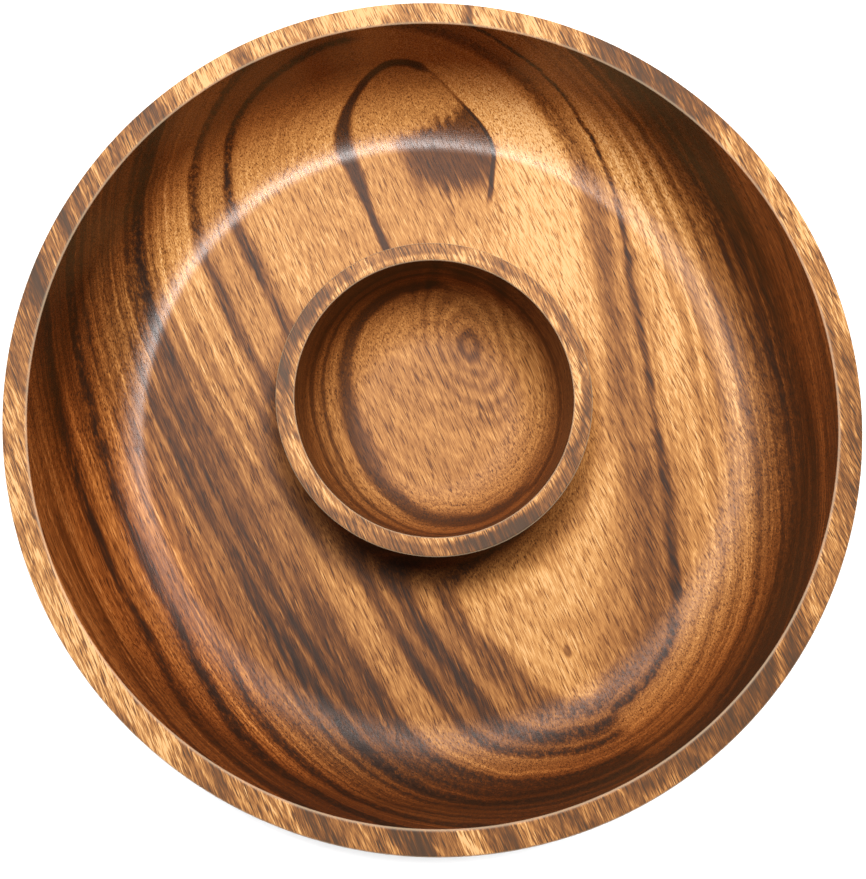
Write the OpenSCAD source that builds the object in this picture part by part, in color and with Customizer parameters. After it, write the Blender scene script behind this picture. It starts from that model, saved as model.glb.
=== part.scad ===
// Turned hardwood chip and dip server: a wide, steep-walled bowl with a dip cup standing in its middle.
// The whole server is one lathe section. cup_share() divides it into the bowl and the dip cup, which
// meet face to face at a spigot and a shoulder hidden inside the wood.
// Millimetres, +Z up. The origin is the middle of the foot, on the surface that the server stands on.

/* [Bowl] */
// Outside diameter at the rim
bowl_d = 356; // [330:1:420]
// Height from the table to the flat top of the rim
bowl_h = 67; // [62:1:90]
// Width of the flat rim
rim_w = 10.2; // [8:0.1:14]
// Height of the chip floor above the table
floor_z = 14; // [12:0.5:18]
// Radius of the cove between the chip floor and the wall
cove_r = 30; // [20:1:38]
// Lean of the walls out from the vertical, in degrees
wall_lean = 3; // [1:0.5:6]
// Rounding of the rim's two edges
rim_edge_r = 1.2; // [0.6:0.1:2.5]

/* [Foot] */
// Outside diameter of the foot
foot_d = 226; // [180:1:232]
// Width of the foot's ring, with its rounded outer edge
foot_ring_w = 12; // [8:1:20]
// Height of the foot below the bowl's underside
foot_h = 3; // [2:0.5:4]
// Depth of the dished middle of the foot
dish_h = 1.5; // [0.5:0.5:2]

/* [Dip cup] */
// Outside diameter of the cup at its rim
cup_d = 131.6; // [116:0.1:140]
// Width of the cup's flat rim
cup_rim_w = 7.8; // [6:0.1:10]
// How far the cup's rim lies below the bowl's rim
cup_drop = 0; // [0:0.5:8]
// Height of the cup's floor above the table
cup_floor_z = 24; // [18:0.5:30]
// Radius of the cove inside the cup
cup_cove_r = 26; // [18:1:30]
// Radius of the flare where the cup's outside runs into the chip floor
flare_r = 18; // [12:1:22]
// Rounding of the cup rim's two edges
cup_edge_r = 0.9; // [0.5:0.1:2]

/* [Joint] */
// Diameter of the cup's spigot, which sits in the middle of the bowl
spigot_d = 100; // [80:1:110]
// Height of the spigot's end face above the table
spigot_z = 8; // [6:0.5:10]
// Height of the shoulder above the chip floor, part of the way up the flare
shoulder_rise = 6; // [4:0.5:8]

/* [Hidden] */
$fn = 144;
wood = [0.60, 0.38, 0.20];
over = 5; // how far cutting shapes run past the wood
bite = 0.001; // how far a wall starts inside the arc it runs into, so that the two always cross
bowl_r = bowl_d / 2;
cup_r = cup_d / 2;
foot_r = foot_d / 2;
cup_top = bowl_h - cup_drop;
corner_r = cove_r + floor_z - foot_h; // the outside corner runs concentric with the cove
shoulder_z = floor_z + shoulder_rise;

// Radius, at height z, of a wall that leans out by wall_lean and has radius r at height top.
function wall_at(r, top, z) = r - (top - z) * tan(wall_lean);
// Centre of an arc of radius a that touches that wall and the level z. Side is 1 where the arc's
// centre is nearer the axis than the wall, and -1 where it is outside the wall.
function arc_centre(r, top, z, a, side = 1) =
    [wall_at(r, top, z + a) - side * a / cos(wall_lean), z + a];
// Centre of the small arc, under the flat top, that rounds a rim's edge.
function edge_centre(r, top, a, side) =
    [wall_at(r, top, top - a) - side * a / cos(wall_lean), top - a];
// Where the wall meets an arc with this centre.
function meet(centre, a, side = 1) =
    centre + side * (a - bite) * [cos(wall_lean), -sin(wall_lean)];

// The part of a disc around c that lies below and outside its centre, as far as the wall's lean.
module quarter(c, r) {
    spare = 2; // degrees past the point where the wall takes over
    end = spare - wall_lean;
    reach = 2 * r;
    intersection() {
        translate(c) circle(r = r);
        polygon([c, c + [0, -reach], c + [reach, -reach], c + [reach, reach * tan(end)]]);
    }
}

// The space inside a round wall: flat floor, cove, leaning wall and a rounded edge at the rim.
module round_hollow(r, top, bottom, cove, edge) {
    c = arc_centre(r, top, bottom, cove);
    e = edge_centre(r, top, edge, -1);
    difference() {
        union() {
            polygon([[0, bottom], [c[0], bottom], c, meet(c, cove), meet(e, edge, -1), e,
                [e[0], top], [e[0], top + over], [0, top + over]]);
            quarter(c, cove);
        }
        translate(e) circle(r = edge);
    }
}

// The bowl before it is hollowed, without its foot.
module bowl_blank() {
    c = arc_centre(bowl_r, bowl_h, foot_h, corner_r);
    e = edge_centre(bowl_r, bowl_h, rim_edge_r, 1);
    polygon([[0, foot_h], [c[0], foot_h], c, meet(c, corner_r), meet(e, rim_edge_r), e,
        [e[0], bowl_h], [0, bowl_h]]);
    quarter(c, corner_r);
    translate(e) circle(r = rim_edge_r);
}

// The foot, rounded at its outer edge and buried in the underside.
module foot_blank() {
    edge = foot_h / 2;
    square([foot_r - edge, floor_z]);
    translate([0, edge]) square([foot_r, floor_z - edge]);
    translate([foot_r - edge, edge]) circle(r = edge);
}

// The shallow dish under the foot, which leaves a ring to stand on.
module foot_dish() {
    dish_r = foot_r - foot_ring_w;
    polygon([[0, -over], [dish_r, -over], [dish_r, 0], [dish_r - 2 * dish_h, dish_h], [0, dish_h]]);
}

// The dip cup before it is hollowed, flaring into the chip floor.
module cup_blank() {
    f = arc_centre(cup_r, cup_top, floor_z, flare_r, -1);
    e = edge_centre(cup_r, cup_top, cup_edge_r, 1);
    difference() {
        polygon([[0, foot_h], [f[0], foot_h], [f[0], floor_z], f, meet(f, flare_r, -1),
            meet(e, cup_edge_r), e, [e[0], cup_top], [0, cup_top]]);
        translate(f) circle(r = flare_r);
    }
    translate(e) circle(r = cup_edge_r);
}

// The whole server's section, from the axis outwards.
module server_section() {
    difference() {
        union() {
            difference() {
                bowl_blank();
                round_hollow(bowl_r - rim_w, bowl_h, floor_z, cove_r, rim_edge_r);
            }
            cup_blank();
            foot_blank();
        }
        round_hollow(cup_r - cup_rim_w, cup_top, cup_floor_z, cup_cove_r, cup_edge_r);
        foot_dish();
    }
}

// The dip cup's share of the section: all above the shoulder, and the spigot below it.
module cup_share() {
    translate([0, shoulder_z]) square([cup_r + flare_r, bowl_h]);
    translate([0, spigot_z]) square([spigot_d / 2, shoulder_z - spigot_z + 1]);
}

module bowl() {
    color(wood) rotate_extrude() difference() {
        server_section();
        cup_share();
    }
}

module dip_cup() {
    color(wood) rotate_extrude() intersection() {
        server_section();
        cup_share();
    }
}

bowl();
dip_cup();
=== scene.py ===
"""Looks of the turned hardwood chip and dip server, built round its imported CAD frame.

The bowl and the dip cup are lathe meshes on the CAD section, and one solid wood texture runs through both,
because the real server is cut from one block. Lengths are in metres, except in the wood texture, which
thinks in millimetres like the growth rings that it draws.
"""

import math

import bpy
import numpy as np
from mathutils import Matrix, Vector


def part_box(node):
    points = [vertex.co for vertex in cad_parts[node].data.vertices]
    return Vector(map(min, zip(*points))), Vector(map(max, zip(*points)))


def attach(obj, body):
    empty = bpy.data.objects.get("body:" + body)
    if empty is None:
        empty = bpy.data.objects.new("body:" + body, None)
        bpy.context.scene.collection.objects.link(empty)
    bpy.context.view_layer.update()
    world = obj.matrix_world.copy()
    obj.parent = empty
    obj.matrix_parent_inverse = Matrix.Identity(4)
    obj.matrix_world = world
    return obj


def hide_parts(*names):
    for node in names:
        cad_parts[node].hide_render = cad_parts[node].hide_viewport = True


MM = 0.001

# ---------------------------------------------------------------------------------------------------------
# The frame, and the section of the server. The names and values are those of the CAD model.
# ---------------------------------------------------------------------------------------------------------
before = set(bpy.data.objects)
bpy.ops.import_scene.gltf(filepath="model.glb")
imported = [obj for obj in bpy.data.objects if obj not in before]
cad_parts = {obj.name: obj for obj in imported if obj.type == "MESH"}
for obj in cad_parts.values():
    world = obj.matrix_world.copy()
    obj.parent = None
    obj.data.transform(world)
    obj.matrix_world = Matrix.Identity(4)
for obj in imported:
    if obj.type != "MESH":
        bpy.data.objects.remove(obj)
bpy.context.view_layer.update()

BOWL_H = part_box("bowl")[1].z
BOWL_R = 178 * MM
RIM_W = 10.2 * MM
FLOOR_Z = 14 * MM
COVE_R = 30 * MM
WALL_LEAN = math.radians(3)
RIM_EDGE_R = 1.2 * MM
FOOT_R = 113 * MM
FOOT_RING_W = 12 * MM
FOOT_H = 3 * MM
DISH_H = 1.5 * MM
CUP_R = 65.8 * MM
CUP_RIM_W = 7.8 * MM
CUP_FLOOR_Z = 24 * MM
CUP_COVE_R = 26 * MM
FLARE_R = 18 * MM
CUP_EDGE_R = 0.9 * MM
SPIGOT_R = 50 * MM
SPIGOT_Z = 8 * MM
SHOULDER_Z = FLOOR_Z + 6 * MM

SEGMENTS = 360                   # steps round the lathe axis
LINE_STEP = 4 * MM               # longest step along a straight run of a section
ARC_STEP = math.radians(3)
RIM_EDGE_STEP = math.radians(9)
FOOT_EDGE_STEP = math.radians(10)
TOUCHING = 1e-6                  # points this close are one point
OVALITY = 0.0145                 # seasoned wood shrinks across the grain: breadth lost against length
GRAIN_ANGLE = math.radians(-66)  # direction of the grain in plan, from +X
GRAIN = Vector((math.cos(GRAIN_ANGLE), math.sin(GRAIN_ANGLE), 0))
ACROSS = Vector((-GRAIN.y, GRAIN.x, 0))


# ---------------------------------------------------------------------------------------------------------
# Lathe sections. A section is a list of (r, z, normal r, normal z) rows, walked with the wood on its left.
# ---------------------------------------------------------------------------------------------------------
def line(r0, z0, r1, z1):
    """A straight run of the section. The outward normal is to the right of the walk."""
    length = math.hypot(r1 - r0, z1 - z0)
    normal = ((z1 - z0) / length, -(r1 - r0) / length)
    count = max(2, math.ceil(length / LINE_STEP) + 1)
    return [(r0 + (r1 - r0) * t, z0 + (z1 - z0) * t, *normal) for t in np.linspace(0, 1, count)]


def arc(centre, radius, start, end, step=ARC_STEP):
    """A round run, from angle start to angle end. Walked anticlockwise it is convex, clockwise a hollow."""
    count = max(3, math.ceil(abs(end - start) / step) + 1)
    outward = 1 if end > start else -1
    rows = []
    for a in np.linspace(start, end, count):
        c, s = math.cos(a), math.sin(a)
        rows.append((centre[0] + radius * c, centre[1] + radius * s, outward * c, outward * s))
    return rows


def wall_at(r, top, z):
    """Radius at height z of a wall that leans outwards and has radius r at height top."""
    return r - (top - z) * math.tan(WALL_LEAN)


def arc_centre(r, top, z, radius, side=1):
    """Centre of an arc that touches the leaning wall and the level z. Side is -1 outside the wall."""
    return wall_at(r, top, z + radius) - side * radius / math.cos(WALL_LEAN), z + radius


def edge_centre(r, top, radius, side):
    """Centre of the small arc that rounds an edge of a rim, under its flat top."""
    return wall_at(r, top, top - radius) - side * radius / math.cos(WALL_LEAN), top - radius


def joined(*runs):
    """Runs one after another, with a straight run wherever one ends away from where the next begins."""
    rows = []
    for run in runs:
        if rows:
            (r0, z0), (r1, z1) = rows[-1][:2], run[0][:2]
            if math.hypot(r1 - r0, z1 - z0) > TOUCHING:
                rows += line(r0, z0, r1, z1)
        rows += run
    return rows


def bowl_section():
    """From the middle of the underside up to the rim, down inside and on to the joint with the cup."""
    outside = arc_centre(BOWL_R, BOWL_H, FOOT_H, COVE_R + FLOOR_Z - FOOT_H)
    inside = arc_centre(BOWL_R - RIM_W, BOWL_H, FLOOR_Z, COVE_R)
    outer_edge = edge_centre(BOWL_R, BOWL_H, RIM_EDGE_R, 1)
    inner_edge = edge_centre(BOWL_R - RIM_W, BOWL_H, RIM_EDGE_R, -1)
    flare = arc_centre(CUP_R, BOWL_H, FLOOR_Z, FLARE_R, -1)
    dish_r, foot_edge = FOOT_R - FOOT_RING_W, FOOT_H / 2
    quarter, half = math.pi / 2, math.pi
    shoulder = -quarter - math.acos((flare[1] - SHOULDER_Z) / FLARE_R)
    return joined(
        line(0, DISH_H, dish_r - 2 * DISH_H, DISH_H),
        line(dish_r - 2 * DISH_H, DISH_H, dish_r, 0),
        line(dish_r, 0, FOOT_R - foot_edge, 0),
        arc((FOOT_R - foot_edge, foot_edge), foot_edge, -quarter, 0, FOOT_EDGE_STEP),
        line(FOOT_R, foot_edge, FOOT_R, FOOT_H),
        arc(outside, COVE_R + FLOOR_Z - FOOT_H, -quarter, -WALL_LEAN),
        arc(outer_edge, RIM_EDGE_R, -WALL_LEAN, quarter, RIM_EDGE_STEP),
        arc(inner_edge, RIM_EDGE_R, quarter, half - WALL_LEAN, RIM_EDGE_STEP),
        arc(inside, COVE_R, -WALL_LEAN, -quarter),
        arc(flare, FLARE_R, -quarter, shoulder),
        line(flare[0] + FLARE_R * math.cos(shoulder), SHOULDER_Z, SPIGOT_R, SHOULDER_Z),
        line(SPIGOT_R, SHOULDER_Z, SPIGOT_R, SPIGOT_Z),
        line(SPIGOT_R, SPIGOT_Z, 0, SPIGOT_Z),
    )


def cup_section():
    """From the end of the spigot out to the joint, up to the rim and down inside to the floor's middle."""
    inside = arc_centre(CUP_R - CUP_RIM_W, BOWL_H, CUP_FLOOR_Z, CUP_COVE_R)
    outer_edge = edge_centre(CUP_R, BOWL_H, CUP_EDGE_R, 1)
    inner_edge = edge_centre(CUP_R - CUP_RIM_W, BOWL_H, CUP_EDGE_R, -1)
    flare = arc_centre(CUP_R, BOWL_H, FLOOR_Z, FLARE_R, -1)
    quarter, half = math.pi / 2, math.pi
    shoulder = -quarter - math.acos((flare[1] - SHOULDER_Z) / FLARE_R)
    return joined(
        line(0, SPIGOT_Z, SPIGOT_R, SPIGOT_Z),
        line(SPIGOT_R, SPIGOT_Z, SPIGOT_R, SHOULDER_Z),
        line(SPIGOT_R, SHOULDER_Z, flare[0] + FLARE_R * math.cos(shoulder), SHOULDER_Z),
        arc(flare, FLARE_R, shoulder, -half - WALL_LEAN),
        arc(outer_edge, CUP_EDGE_R, -WALL_LEAN, quarter, RIM_EDGE_STEP),
        arc(inner_edge, CUP_EDGE_R, quarter, half - WALL_LEAN, RIM_EDGE_STEP),
        arc(inside, CUP_COVE_R, -WALL_LEAN, -quarter),
        line(inside[0], CUP_FLOOR_Z, 0, CUP_FLOOR_Z),
    )


def lathe(name, section):
    """A closed mesh of revolution of the section, slightly oval, with the section's own normals."""
    rings, normals = [], []
    for (r0, z0, *n0), (r1, z1, *n1) in zip(section, section[1:]):
        if math.hypot(r1 - r0, z1 - z0) < TOUCHING:
            continue
        if not rings:
            rings.append((r0, z0))
        rings.append((r1, z1))
        normals.append((n0, n1))
    turn = np.linspace(0, 2 * math.pi, SEGMENTS, endpoint=False)
    verts, starts = [], []
    for r, z in rings:
        starts.append(len(verts))
        if r < TOUCHING:
            verts.append((0, 0, z))
        else:
            verts += [(r * math.cos(a), r * math.sin(a), z) for a in turn]
    faces, loop_normals = [], []
    for i, (n0, n1) in enumerate(normals):
        a0, a1 = starts[i], starts[i + 1]
        lone0, lone1 = rings[i][0] < TOUCHING, rings[i + 1][0] < TOUCHING
        for k in range(SEGMENTS):
            j = (k + 1) % SEGMENTS
            corners = [(a0 if lone0 else a0 + k, n0, k), (a0 if lone0 else a0 + j, n0, j),
                       (a1 if lone1 else a1 + j, n1, j), (a1 if lone1 else a1 + k, n1, k)]
            if lone0:
                corners.pop(1)
            elif lone1:
                corners.pop(2)
            faces.append([c[0] for c in corners])
            loop_normals += [(n[0] * math.cos(turn[m]), n[0] * math.sin(turn[m]), n[1])
                             for _, n, m in corners]
    mesh = bpy.data.meshes.new(name)
    mesh.from_pydata([oval(p) for p in verts], [], faces)
    mesh.polygons.foreach_set("use_smooth", [True] * len(faces))
    mesh.normals_split_custom_set(loop_normals)
    obj = bpy.data.objects.new(name, mesh)
    bpy.context.scene.collection.objects.link(obj)
    return obj


def oval(point):
    """A point of the round lathe section, moved as the wood moves when it dries after turning."""
    along = GRAIN.x * point[0] + GRAIN.y * point[1]
    across = ACROSS.x * point[0] + ACROSS.y * point[1]
    along, across = along * (1 + OVALITY / 2), across * (1 - OVALITY / 2)
    return (GRAIN.x * along + ACROSS.x * across, GRAIN.y * along + ACROSS.y * across, point[2])


# ---------------------------------------------------------------------------------------------------------
# Shader helpers
# ---------------------------------------------------------------------------------------------------------
class Nodes:
    """Builds a node tree from expressions: every call adds a node and returns its output socket."""

    def __init__(self, tree):
        self.tree = tree

    def add(self, kind, **settings):
        node = self.tree.nodes.new(kind)
        for key, value in settings.items():
            setattr(node, key, value)
        return node

    def feed(self, socket, value):
        if isinstance(value, bpy.types.NodeSocket):
            self.tree.links.new(value, socket)
        else:
            socket.default_value = value

    def math(self, operation, *values):
        node = self.add("ShaderNodeMath", operation=operation)
        for socket, value in zip(node.inputs, values):
            self.feed(socket, value)
        return node.outputs[0]

    def plus(self, a, b):
        return self.math("ADD", a, b)

    def minus(self, a, b):
        return self.math("SUBTRACT", a, b)

    def times(self, a, b):
        return self.math("MULTIPLY", a, b)

    def dot(self, a, b):
        node = self.add("ShaderNodeVectorMath", operation="DOT_PRODUCT")
        self.feed(node.inputs[0], a)
        self.feed(node.inputs[1], b)
        return node.outputs["Value"]

    def hypot(self, a, b):
        return self.math("SQRT", self.plus(self.times(a, a), self.times(b, b)))

    def xyz(self, x, y, z):
        node = self.add("ShaderNodeCombineXYZ")
        for socket, value in zip(node.inputs, (x, y, z)):
            self.feed(socket, value)
        return node.outputs[0]

    def step(self, value, low, high):
        """0 at low, 1 at high, smooth between and held beyond. Low may be the larger one."""
        node = self.add("ShaderNodeMapRange", interpolation_type="SMOOTHSTEP")
        for socket, v in zip(node.inputs, (value, low, high, 0.0, 1.0)):
            self.feed(socket, v)
        return node.outputs[0]

    def scaled(self, value, low, high, new_low, new_high):
        """Linear, held at both ends."""
        node = self.add("ShaderNodeMapRange")
        for socket, v in zip(node.inputs, (value, low, high, new_low, new_high)):
            self.feed(socket, v)
        return node.outputs[0]

    def noise(self, vector, detail=2.0, roughness=0.5):
        """Noise from 0 to 1, with one cell for each unit of the vector."""
        node = self.add("ShaderNodeTexNoise")
        self.feed(node.inputs["Vector"], vector)
        for key, value in (("Scale", 1.0), ("Detail", detail), ("Roughness", roughness)):
            self.feed(node.inputs[key], value)
        return node.outputs[0]

    def mix(self, share, a, b):
        """a where share is 0, b where it is 1."""
        node = self.add("ShaderNodeMix")
        self.feed(node.inputs[0], share)
        self.feed(node.inputs[2], a)
        self.feed(node.inputs[3], b)
        return node.outputs[0]

    def mix_colour(self, share, a, b, blend="MIX"):
        node = self.add("ShaderNodeMix", data_type="RGBA", blend_type=blend)
        self.feed(node.inputs[0], share)
        self.feed(node.inputs[6], a)
        self.feed(node.inputs[7], b)
        return node.outputs[2]

    def ramp(self, value, stops):
        """A colour ramp. Each stop is (place from 0 to 1, colour)."""
        node = self.add("ShaderNodeValToRGB")
        self.feed(node.inputs[0], value)
        band = node.color_ramp
        band.elements.remove(band.elements[-1])
        for i, (place, colour) in enumerate(stops):
            element = band.elements[0] if i == 0 else band.elements.new(place)
            element.position = place
            element.color = colour
        return node.outputs[0]


def srgb(red, green, blue):
    """An sRGB colour of 0 to 255 as linear light."""
    def linear(c):
        c /= 255
        return c / 12.92 if c <= 0.04045 else ((c + 0.055) / 1.055) ** 2.4
    return (linear(red), linear(green), linear(blue), 1)


# ---------------------------------------------------------------------------------------------------------
# The wood
# ---------------------------------------------------------------------------------------------------------
# Tone runs from 0, nearly black, over 1, the gold of the light wood, to 1.3, its palest flecks.
TONE_TOP = 1.3
TONE_COLOURS = [
    (0.00, (32, 22, 18)), (0.25, (50, 33, 23)), (0.40, (74, 42, 20)), (0.50, (92, 54, 25)),
    (0.60, (109, 66, 31)), (0.70, (125, 79, 39)), (0.80, (140, 92, 47)), (0.90, (154, 104, 55)),
    (1.00, (167, 116, 63)), (1.10, (179, 129, 74)), (1.20, (190, 142, 88)), (1.30, (200, 156, 104))]
MIDDLE_TONE = 0.84  # the tone that the contrast leaves alone
CONTRAST = 1.36

# The ground between the growth lines, as (mm from the pith, tone) at the far end, middle and near end.
RING_LOW, RING_HIGH = 85, 265
LEFT_GROUND = (
    [(85, .98), (105, .92), (118, .98), (132, .84), (140, .86), (149, 1.03), (161, .96), (168, .74),
     (180, .84), (190, .76), (199, .84), (212, .72), (220, .68), (235, .66), (265, .75)],
    [(85, .95), (120, .98), (148, .92), (160, .88), (168, .78), (180, .75), (189, .84), (200, .98),
     (205, .86), (216, .92), (222, .86), (231, .88), (238, 1.12), (265, 1.08)],
    [(85, .95), (120, 1.0), (137, .98), (143, .86), (150, .74), (161, .84), (170, .68), (180, .68),
     (190, .72), (201, .78), (210, .82), (224, .74), (240, .90), (265, .95)])
RIGHT_GROUND = (
    [(85, .96), (100, .98), (110, 1.05), (122, 1.14), (130, 1.16), (138, .92), (147, .98), (156, 1.08),
     (166, .98), (174, .82), (184, .64), (200, .58), (230, .62), (265, .62)],
    [(85, .98), (115, 1.06), (129, 1.12), (136, .88), (147, .92), (152, 1.06), (160, 1.0), (170, .92),
     (180, .80), (190, .68), (200, .70), (207, .96), (225, 1.0), (265, .9)],
    [(85, .95), (120, .98), (132, .97), (138, .80), (146, .80), (152, .92), (162, .90), (170, .86),
     (180, .84), (190, .70), (200, .62), (210, .80), (225, .72), (265, .7)])

# Dark growth lines: mm from the pith at the far end, middle and near end, half width, and depth there.
LEFT_LINES = [
    (127, 130, 141, 2.6, .44, .30, .34), (143, 145, 147, 3.0, .36, .36, .40),
    (151, 151, 153, 2.2, .08, .20, .36), (158, 157, 160, 1.6, .12, .16, .00),
    (164, 163, 165, 2.0, .16, .16, .24), (171, 169.5, 168, 4.2, .46, .20, .26),
    (177, 175.5, 174, 2.8, .30, .26, .28), (184, 182, 181.5, 3.4, .12, .34, .46),
    (191, 188, 188, 1.8, .10, .12, .24), (196, 194, 196, 2.4, .18, .26, .16),
    (202.5, 197.5, 205, 2.4, .26, .12, .36), (209, 211, 217, 3.6, .42, .40, .44),
    (224, 226, 232, 3.2, .34, .40, .30), (240, 243, 246, 3.0, .10, .24, .12)]
RIGHT_LINES = [
    (137, 137.5, 140, 4.6, .24, .22, .18), (148, 144.5, 144.5, 1.5, .44, .42, .40),
    (158, 158, 157, 2.2, .10, .14, .14), (165, 164, 164, 2.2, .16, .16, .10),
    (171.5, 173, 173, 2.6, .20, .24, .22), (178, 178, 179, 2.6, .30, .14, .10),
    (183, 183.5, 184.5, 2.8, .30, .30, .26), (188.5, 190, 190.5, 3.4, .30, .32, .24),
    (195, 197, 197, 3.4, .24, .26, .20), (202, 203, 205, 2.6, .14, .10, .20)]


class Wood(Nodes):
    """Node expressions in the wood's own directions, in millimetres.

    u runs across the grain, v along it to the near end, z up, and r outwards from the axis. The block's
    far, middle and near parts blend into one another along v.
    """

    def __init__(self, tree):
        super().__init__(tree)
        point = self.add("ShaderNodeTexCoord").outputs["Object"]
        self.u = self.dot(point, tuple(ACROSS / MM))
        self.v = self.dot(point, tuple(GRAIN / MM))
        self.z = self.dot(point, (0, 0, 1 / MM))
        self.r = self.hypot(self.u, self.v)
        self.not_far = self.step(self.v, -115.0, -25.0)
        self.near = self.step(self.v, 25.0, 100.0)
        normal = self.add("ShaderNodeNewGeometry").outputs["Normal"]
        self.facing_near = self.dot(normal, tuple(GRAIN))
        self.facing_up = self.dot(normal, (0, 0, 1))
        self.end_grain = self.times(self.facing_near, self.facing_near)
        self.flat_rim = self.step(self.z, BOWL_H / MM - 0.35, BOWL_H / MM - 0.10)

    def along(self, far, middle, near):
        """A value that changes from one end of the block to the other."""
        if far == middle == near:
            return middle
        return self.mix(self.near, self.mix(self.not_far, far, middle), near)

    def bowed(self, middle, lean, bow):
        """A curve along the block: its value in the middle, then its lean and its bow over a decimetre."""
        decimetres = self.times(self.v, 0.01)
        squared = self.times(decimetres, decimetres)
        return self.plus(middle, self.plus(self.times(decimetres, lean), self.times(squared, bow)))

    def around(self, value, middle, outer, inner):
        """1 where the value is within inner of the middle, 0 where it is outer or more away."""
        return self.step(self.math("ABSOLUTE", self.minus(value, middle)), outer, inner)

    def streaks(self, across, lengthways, **settings):
        """Noise drawn out along the grain, with this many cells in a millimetre."""
        return self.noise(self.xyz(self.times(self.u, across), self.times(self.v, lengthways),
                                   self.times(self.z, across)), **settings)

    def swing(self, noise, amount):
        """Noise as a shift of up to half the amount each way."""
        return self.times(self.minus(noise, 0.5), amount)

    def varied(self, tone, noise, amount):
        """The tone, lighter and darker by this share of it."""
        return self.times(tone, self.plus(1.0, self.swing(noise, amount)))

    def darker(self, tone, where, depth=1.0):
        """What is left of the tone after losing this depth of it, in full where `where` is 1."""
        return self.times(tone, self.minus(1.0, self.times(where, depth)))

    def grounds(self, ring, tables):
        """The tone between the growth lines, from a table for each part of the block."""
        place = self.scaled(ring, RING_LOW, RING_HIGH, 0.0, 1.0)
        span = RING_HIGH - RING_LOW
        ramps = [self.ramp(place, [((mm - RING_LOW) / span, (tone, tone, tone, 1)) for mm, tone in table])
                 for table in tables]
        return self.along(*ramps)

    def lines(self, ring, table):
        """What the dark growth lines leave of the ground's tone, from 0 to 1."""
        left = 1.0
        streaks = self.streaks(0.55, 0.035, detail=3.0, roughness=0.6)
        broken = self.scaled(streaks, 0.34, 0.62, 0.45, 1.35)
        for far, middle, near, half_width, *depths in table:
            line = self.around(ring, self.along(far, middle, near), half_width * 1.3, half_width * 0.2)
            left = self.darker(left, self.times(line, broken), self.along(*depths))
        return left


def pith_distance(n):
    """Sideways offset and distance from the pith, which runs below the table, leaning and bowed."""
    aside = n.minus(n.u, n.bowed(26.0, -5.0, 0.0))
    above = n.plus(n.z, n.bowed(102.5, 18.5, -13.7))
    ring = n.plus(n.hypot(aside, above), n.bowed(0.0, -0.6, 11.2))
    slow = n.swing(n.streaks(0.03, 0.012, detail=2.0), 4.0)
    quick = n.swing(n.streaks(0.20, 0.030, detail=3.0), 2.6)
    return aside, n.plus(ring, n.plus(slow, quick))


def cup_figure(n, aside, ring):
    """Tone inside the dip cup: dark bands on the left, a swirl of fine rings on the right."""
    leaning = n.plus(ring, n.times(n.v, -0.13))
    left = n.mix(n.step(leaning, 140.0, 158.0), 0.94, 0.76)
    bands = ((141.5, 4.6, 1.2, 0.50), (152.0, 1.9, 0.4, 0.36), (160.0, 3.0, 0.6, 0.34))
    for middle, outer, inner, depth in bands:
        left = n.darker(left, n.around(leaning, middle, outer, inner), depth)
    right = n.mix(n.step(ring, 139.0, 146.0), 0.94, 0.66)
    right = n.darker(right, n.around(ring, 151.0, 3.4, 0.8), 0.30)

    # The swirl's rings are ovals, longer along the grain, round a dark core.
    ring_pitch = 5.0
    wander = n.swing(n.streaks(0.12, 0.04, detail=2.0), 5.0)
    out = n.plus(n.hypot(n.minus(n.u, 29.0), n.times(n.plus(n.v, 23.0), 0.60)), wander)
    rings = n.math("SINE", n.times(out, 2 * math.pi / ring_pitch))
    core = n.step(out, 9.0, 3.0)
    swirl = n.plus(n.plus(n.times(rings, 0.11), -0.10), n.times(core, -0.26))
    swirl = n.times(swirl, n.step(out, 28.0, 18.0))

    tone = n.plus(n.mix(n.step(aside, -5.0, 5.0), left, right), swirl)
    right_wall = n.times(n.step(n.r, 50.0, 56.0), n.step(n.u, 0.0, 40.0))
    return n.times(tone, n.mix(right_wall, 0.90, 1.20))


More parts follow.
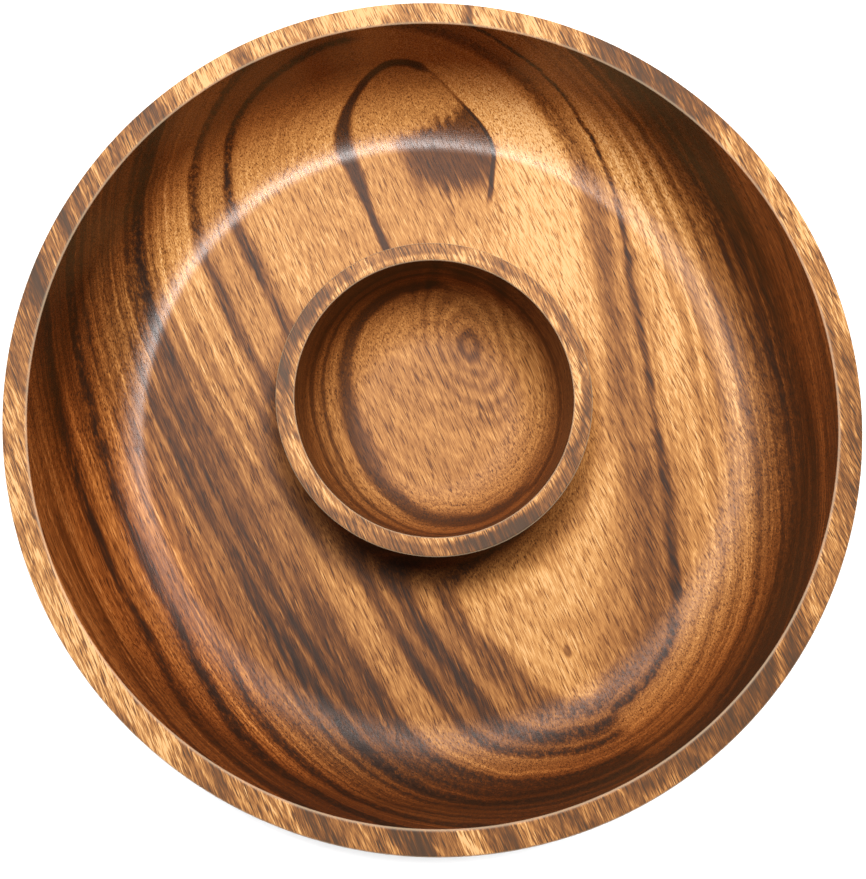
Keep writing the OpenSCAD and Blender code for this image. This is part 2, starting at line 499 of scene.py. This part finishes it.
def branch_eye(n, tone):
    """The eye of a branch at the far end: a light almond in a dark outline, half filled by a dark patch.

    The outline is 100 mm from a line below the table, which curls over towards the far end. It shows in the
    trough only, and not on the outside of the bowl.
    """
    t = n.math("MINIMUM", n.math("MAXIMUM", n.minus(-87.0, n.v), 0.0), 74.0)
    curl = n.math("POWER", n.times(t, 1 / 60), 8.0)
    middle_u = n.plus(n.plus(41.5, n.times(t, 0.30)), n.times(curl, 6.8))
    middle_z = n.plus(n.plus(-82.0, n.times(t, 0.09)), n.times(curl, 5.9))
    aside = n.minus(n.u, middle_u)
    reach = n.hypot(aside, n.minus(n.z, middle_z))
    upper_side = n.times(n.step(n.facing_near, -0.25, -0.05), n.step(n.z, 8.0, 12.0))
    here = n.times(n.step(n.v, -74.0, -84.0), upper_side)
    inside = n.times(here, n.step(reach, 101.0, 99.0))

    # The outline is broad on the left, thin on the right and faint at the top right.
    to_right = n.step(aside, -20.0, -6.0)
    top_right = n.times(to_right, n.step(n.v, -132.0, -146.0))
    left_width = n.scaled(n.math("ABSOLUTE", n.plus(n.v, 148.0)), 2.0, 40.0, 2.1, 0.6)
    half_width = n.mix(to_right, left_width, 0.45)
    away = n.math("ABSOLUTE", n.minus(reach, 100.0))
    outline = n.step(n.math("DIVIDE", away, half_width), 1.5, 0.5)
    outline = n.times(n.times(outline, here), n.mix(top_right, 0.66, 0.22))
    outline = n.times(outline, n.mix(to_right, 1.0, n.step(n.v, -84.0, -94.0)))

    # The patch has spikes of dark fibre at both ends.
    near_spikes = n.swing(n.streaks(0.45, 0.012, detail=3.0, roughness=0.7), 46.0)
    near_edge = n.plus(n.plus(-104.0, n.times(n.minus(n.u, 58.0), 0.35)), near_spikes)
    far_edge = n.plus(-137.0, n.swing(n.streaks(0.3, 0.05, detail=2.0), 14.0))
    patch = n.times(n.step(n.minus(n.v, near_edge), 9.0, -5.0), n.step(n.minus(n.v, far_edge), -3.0, 4.0))
    patch = n.times(n.times(patch, n.step(n.u, 35.0, 46.0)), inside)

    almond = n.mix(n.streaks(0.25, 0.02, detail=2.0), 0.82, 1.08)
    tone = n.mix(inside, tone, almond)
    return n.darker(n.darker(tone, outline), patch, 0.56)


def growth_figure(n, aside, ring):
    """Tone of the growth rings all through the block."""
    left = n.times(n.grounds(ring, LEFT_GROUND), n.lines(ring, LEFT_LINES))
    right = n.times(n.grounds(ring, RIGHT_GROUND), n.lines(ring, RIGHT_LINES))
    tone = n.mix(n.step(aside, -6.0, 6.0), left, right)
    tone = n.plus(MIDDLE_TONE, n.times(n.minus(tone, MIDDLE_TONE), CONTRAST))
    tone = n.mix(n.step(n.r, 61.0, 59.0), tone, cup_figure(n, aside, ring))

    # Thin layers inside each year's growth are stronger in the older wood, which is darker too.
    older = n.scaled(ring, 130.0, 200.0, 0.35, 1.30)
    for cells, lengthways, third, detail, roughness, amount in (
            (0.36, 0.007, n.times(n.z, 0.004), 2.0, 0.6, 0.80),
            (0.95, 0.016, n.times(n.u, 0.010), 2.0, 0.5, 0.80),
            (2.00, 0.030, n.times(n.u, 0.020), 1.0, 0.5, 0.60)):
        place = n.xyz(n.times(ring, cells), n.times(n.v, lengthways), third)
        layers = n.noise(place, detail=detail, roughness=roughness)
        tone = n.varied(tone, layers, n.times(older, amount))
    tone = n.times(tone, n.scaled(ring, 165.0, 225.0, 1.0, 0.79))

    tone = branch_eye(n, tone)
    pin_knot = n.hypot(n.minus(n.u, 12.0), n.times(n.minus(n.v, 124.0), 0.55))
    return n.darker(tone, n.step(pin_knot, 2.3, 0.9), 0.45)


def wood_tone(n, figure, fibre, fine, pore):
    """The figure's tone with the oil, the fibres and the pores in it, and with painted shade and sheen."""
    # End grain takes up more oil, and shade is painted into the corner round the cup's foot.
    tone = n.darker(figure, n.end_grain, 0.22)
    painted_shade_at_foot = n.times(n.step(n.r, 90.0, 76.0), n.step(n.r, 60.0, 62.0))
    tone = n.darker(tone, painted_shade_at_foot, 0.32)

    tone = n.varied(tone, fibre, 0.80)
    tone = n.varied(tone, fine, n.mix(n.flat_rim, 0.80, 1.9))
    tone = n.darker(tone, pore, n.mix(n.flat_rim, 0.38, 0.52))
    # The flats of the rims are painted paler as sheen, the cup's most of all, in lighter and darker
    # patches.
    patches = n.streaks(0.07, 0.035, detail=1.0)
    rim_sheen_and_patches = n.plus(n.mix(n.step(n.r, 70.0, 68.0), 1.17, 1.36), n.swing(patches, 1.5))
    return n.times(tone, n.mix(n.flat_rim, 1.03, rim_sheen_and_patches))


def wood_colour(n, tone, ring):
    stops = [(place / TONE_TOP, srgb(*rgb)) for place, rgb in TONE_COLOURS]
    colour = n.ramp(n.times(tone, 1 / TONE_TOP), stops)
    # Oiled end grain and the older wood are redder.
    red = n.math("MAXIMUM", n.step(ring, 180.0, 215.0), n.times(n.end_grain, 0.8))
    colour = n.mix_colour(n.darker(red, n.flat_rim), colour, (0.98, 0.77, 0.60, 1), blend="MULTIPLY")
    # Painted shade: the steep walls are made darker and redder.
    steep_wall_painted_shade = n.step(n.math("ABSOLUTE", n.facing_up), 0.85, 0.25)
    colour = n.mix_colour(steep_wall_painted_shade, colour, (0.94, 0.78, 0.66, 1), blend="MULTIPLY")
    # Painted sheen: the flats of the rims are made a little greyer.
    colour = n.mix_colour(n.times(n.flat_rim, 0.08), colour, srgb(170, 130, 94))
    # The rounded edges of the rims are painted pale, as highlights.
    painted_edge_highlight = n.around(n.z, BOWL_H / MM - 0.5, 0.5, 0.1)
    return n.mix_colour(n.times(painted_edge_highlight, 0.40), colour, srgb(226, 198, 164))


def finish(n, shader, fibre, fine, pore):
    """Floors and rims sanded dull, coves and walls burnished, most of all at the far end."""
    dull = n.math("MAXIMUM", n.step(n.r, 139.0, 135.0), n.flat_rim)
    burnished = n.plus(n.scaled(fine, 0.3, 0.7, 0.20, 0.34), n.scaled(n.v, -70.0, 60.0, 0.0, 0.22))
    n.feed(shader.inputs["Roughness"], n.mix(dull, burnished, 0.60))
    shader.inputs["Specular IOR Level"].default_value = 0.4

    lathe_mark_pitch = 0.9
    lathe_marks = n.math("SINE", n.times(n.r, 2 * math.pi / lathe_mark_pitch))
    height = n.plus(n.times(fine, 0.8), n.plus(n.times(fibre, 0.5), n.times(lathe_marks, 0.05)))
    bump = n.add("ShaderNodeBump")
    bump.inputs["Strength"].default_value = 0.40
    bump.inputs["Distance"].default_value = 0.1 * MM
    n.feed(bump.inputs["Height"], n.minus(height, n.times(pore, 0.6)))
    n.feed(shader.inputs["Normal"], bump.outputs[0])


def wood_material():
    material = bpy.data.materials.new("figured_hardwood")
    material.use_nodes = True
    tree = material.node_tree
    tree.nodes.clear()
    n = Wood(tree)

    # Fibres and pores are long along the grain, so they are dashes on the floor and dots on end grain.
    fibre = n.streaks(1.2, 0.07, detail=3.0, roughness=0.65)
    fine = n.streaks(2.2, 0.16, detail=1.0, roughness=0.6)
    pore = n.step(n.streaks(1.9, 0.13, detail=1.0), 0.56, 0.67)

    aside, ring = pith_distance(n)
    tone = wood_tone(n, growth_figure(n, aside, ring), fibre, fine, pore)
    shader = n.add("ShaderNodeBsdfPrincipled")
    n.feed(shader.inputs["Base Color"], wood_colour(n, tone, ring))
    finish(n, shader, fibre, fine, pore)
    out = n.add("ShaderNodeOutputMaterial")
    tree.links.new(shader.outputs[0], out.inputs[0])
    return material


# ---------------------------------------------------------------------------------------------------------
# Studio
# ---------------------------------------------------------------------------------------------------------
IMAGE_HEIGHT = 879               # pixels
FOCAL_LENGTH = 800               # pixels
CAMERA_PLACE = Vector((-0.0225, -0.381, 1.814))  # from the middle of the rim, in radii of the rim
CAMERA_PITCH = math.radians(8.68)
CAMERA_ROLL = math.radians(0.60)
LAMP_DISTANCE = 1.3
FLOOR_SIZE = 6.0
# From the camera, the flat chip floor mirrors the studio round this lean to +X and to +Y, in degrees.
MIRRORED = (0.6, 10)


def camera():
    """Close above the server, a little in front of its middle, leaning back and rolled very slightly."""
    forward = Vector((0, math.sin(CAMERA_PITCH), -math.cos(CAMERA_PITCH)))
    up = Vector((0, math.cos(CAMERA_PITCH), math.sin(CAMERA_PITCH)))
    level = Vector((1, 0, 0))
    right = level * math.cos(CAMERA_ROLL) - forward * math.sin(CAMERA_ROLL)
    forward = forward * math.cos(CAMERA_ROLL) + level * math.sin(CAMERA_ROLL)
    data = bpy.data.cameras.new("camera")
    data.sensor_fit = "VERTICAL"
    data.sensor_height = 36
    data.lens = FOCAL_LENGTH * data.sensor_height / IMAGE_HEIGHT
    data.clip_start, data.clip_end = 0.01, 20
    obj = bpy.data.objects.new("camera", data)
    bpy.context.scene.collection.objects.link(obj)
    turn = Matrix((right, up, -forward)).transposed()
    place = Vector((0, 0, BOWL_H)) + BOWL_R * CAMERA_PLACE
    obj.matrix_world = Matrix.Translation(place) @ turn.to_4x4()
    bpy.context.scene.camera = obj


def lamp(name, lean, spread, power, matt=True, gloss=True):
    """A soft oval lamp over the server, turned to face it.

    It leans this many degrees to +X and to +Y from straight above. Its half breadths are in degrees too.
    A lamp may light matt surfaces only, or show in glossy ones only.
    """
    lean_x, lean_y = (math.tan(math.radians(angle)) for angle in lean)
    data = bpy.data.lights.new(name, "AREA")
    data.shape = "ELLIPSE"
    data.size, data.size_y = (2 * LAMP_DISTANCE * math.tan(math.radians(angle)) for angle in spread)
    data.energy = power
    obj = bpy.data.objects.new(name, data)
    obj.location = LAMP_DISTANCE * Vector((lean_x, lean_y, 1)).normalized()
    obj.rotation_euler = (-obj.location).to_track_quat("-Z", "Y").to_euler()
    obj.visible_diffuse = matt
    obj.visible_glossy = gloss
    bpy.context.scene.collection.objects.link(obj)


def lamps():
    """A lamp for the light, and weak ones that gleam in the cove on the left, strongest at the far end."""
    lamp("overhead", (2, 11), (15, 9), 35, gloss=False)
    lean_x, lean_y = MIRRORED
    for i, azimuth in enumerate(range(80, 201, 30)):
        a = math.radians(azimuth)
        lean = (lean_x + 15 * math.cos(a), lean_y + 15 * math.sin(a))
        lamp(f"gleam_{i}", lean, (8, 8), 4 - 0.5 * i, matt=False)
    lamp("ring_gleam", MIRRORED, (4, 4), 0.15, matt=False)


def paper_floor():
    s = FLOOR_SIZE
    mesh = bpy.data.meshes.new("floor")
    mesh.from_pydata([(-s, -s, 0), (s, -s, 0), (s, s, 0), (-s, s, 0)], [], [(0, 1, 2, 3)])
    obj = bpy.data.objects.new("floor", mesh)
    bpy.context.scene.collection.objects.link(obj)
    paper = bpy.data.materials.new("white_paper")
    paper.use_nodes = True
    shader = paper.node_tree.nodes["Principled BSDF"]
    shader.inputs["Base Color"].default_value = (0.9, 0.9, 0.9, 1)
    shader.inputs["Roughness"].default_value = 0.8
    mesh.materials.append(paper)


def studio():
    scene = bpy.context.scene
    scene.view_settings.view_transform = "Standard"
    world = bpy.data.worlds.new("studio")
    world.use_nodes = True
    background = world.node_tree.nodes["Background"]
    background.inputs["Color"].default_value = (1, 1, 1, 1)
    background.inputs["Strength"].default_value = 0.03
    scene.world = world
    lamps()
    paper_floor()


# ---------------------------------------------------------------------------------------------------------
# The scene
# ---------------------------------------------------------------------------------------------------------
camera()
studio()
wood = wood_material()
pieces = (("turned_bowl", "bowl", bowl_section()), ("turned_dip_cup", "dip_cup", cup_section()))
for piece_name, node, section in pieces:
    piece = lathe(piece_name, section)
    piece.data.materials.append(wood)
    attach(piece, "root")
    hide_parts(node)
